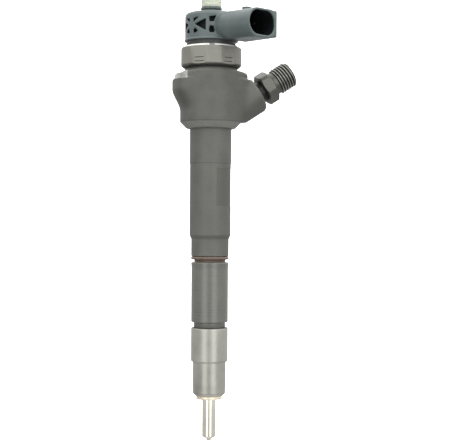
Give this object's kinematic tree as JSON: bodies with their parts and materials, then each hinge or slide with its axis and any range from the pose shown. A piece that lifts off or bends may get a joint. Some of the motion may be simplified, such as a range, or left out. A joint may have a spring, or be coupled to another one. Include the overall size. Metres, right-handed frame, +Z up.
{
  "type": "fuel injector",
  "caption": "Slim solenoid common-rail diesel injector with nozzle, forged body, angled high-pressure inlet and moulded socket head.",
  "frame": {"origin": "on the injector's axis at the bottom face of the copper sealing washer, where it seats in the cylinder head", "axes": "+Z up the axis from the nozzle to the moulded head, +X to the side of the high-pressure inlet"},
  "size_m": [0.0665, 0.0526, 0.2415],
  "materials": {
    "head_plastic": "moulded glass-filled plastic, satin",
    "tinned_contact": "tinned contact",
    "black_rubber": "matt rubber",
    "cap_plastic": "pale translucent plastic",
    "bright_steel": "turned, bright",
    "core_steel": "pressed and ground",
    "bobbin_plastic": "moulded",
    "copper": "enamelled winding",
    "nut_steel": "turned steel, thin zinc phosphate",
    "ground_steel": "ground and lapped",
    "spring_steel": "oiled spring wire",
    "seal_plastic": "moulded seal",
    "phosphated_steel": "forged, dark manganese phosphate",
    "inlet_steel": "turned, phosphated",
    "brown_rubber": "brown fluorocarbon rubber",
    "nozzle_steel": "ground, bright",
    "nozzle_nut_steel": "fine turned",
    "copper_washer": "soft copper"
  },
  "bodies": {
    "injector": {"connector_head": "head_plastic", "terminal_left": "tinned_contact", "terminal_right": "tinned_contact", "return_seal": "black_rubber", "head_seal_ring": "black_rubber", "magnet_sleeve": "bright_steel", "magnet_core": "core_steel", "coil_bobbin": "bobbin_plastic", "coil_winding": "copper", "magnet_o_ring": "black_rubber", "magnet_nut": "nut_steel", "air_gap_shim": "ground_steel", "valve_spring": "spring_steel", "valve_spring_shim": "ground_steel", "overtravel_spring": "spring_steel", "armature_guide": "ground_steel", "valve_clamp_screw": "nut_steel", "valve_piece": "ground_steel", "high_pressure_ring": "seal_plastic", "injector_body": "phosphated_steel", "inlet_fitting": "inlet_steel", "edge_filter": "ground_steel", "body_o_ring": "brown_rubber", "spring_shim": "ground_steel", "nozzle_spring": "spring_steel", "dowel_a": "ground_steel", "dowel_b": "ground_steel", "nozzle_body": "nozzle_steel", "nozzle_nut": "nozzle_nut_steel", "combustion_washer": "copper_washer"},
    "needle": {"nozzle_needle": "ground_steel", "pressure_pin": "ground_steel"},
    "plunger": {"control_plunger": "ground_steel"},
    "pin": {"armature_pin": "ground_steel", "armature_clip": "spring_steel"},
    "plate": {"armature_plate": "core_steel"},
    "ball": {"valve_ball": "ground_steel", "ball_holder": "ground_steel"},
    "cap": {"return_cap": "cap_plastic"}
  },
  "joints": [
    {"name": "needle_lift", "type": "slide", "parent": "injector", "child": "needle", "axis": [0, 0, 1], "range_m": [0, 0.00025], "stiffness_N_per_m": 9600, "deforming": ["nozzle_spring"]},
    {"name": "plunger_lift", "type": "slide", "parent": "injector", "child": "plunger", "axis": [0, 0, 1], "range_m": [0, 0.00025]},
    {"name": "armature_lift", "type": "slide", "parent": "injector", "child": "pin", "axis": [0, 0, 1], "range_m": [0, 0.00005], "stiffness_N_per_m": 5200, "deforming": ["valve_spring"]},
    {"name": "ball_lift", "type": "slide", "parent": "injector", "child": "ball", "axis": [0, 0, 1], "range_m": [0, 0.00005]},
    {"name": "plate_overtravel", "type": "slide", "parent": "pin", "child": "plate", "axis": [0, 0, 1], "range_m": [-0.0001, 0], "stiffness_N_per_m": 2100, "deforming": ["overtravel_spring"]},
    {"name": "cap_pull", "type": "slide", "parent": "injector", "child": "cap", "axis": [0, 0, 1], "range_m": [0, 0.012]}
  ],
  "couplings": [
    {"joint": "plunger_lift", "follows": "needle_lift", "ratio": 1},
    {"joint": "ball_lift", "follows": "armature_lift", "ratio": 1}
  ]
}
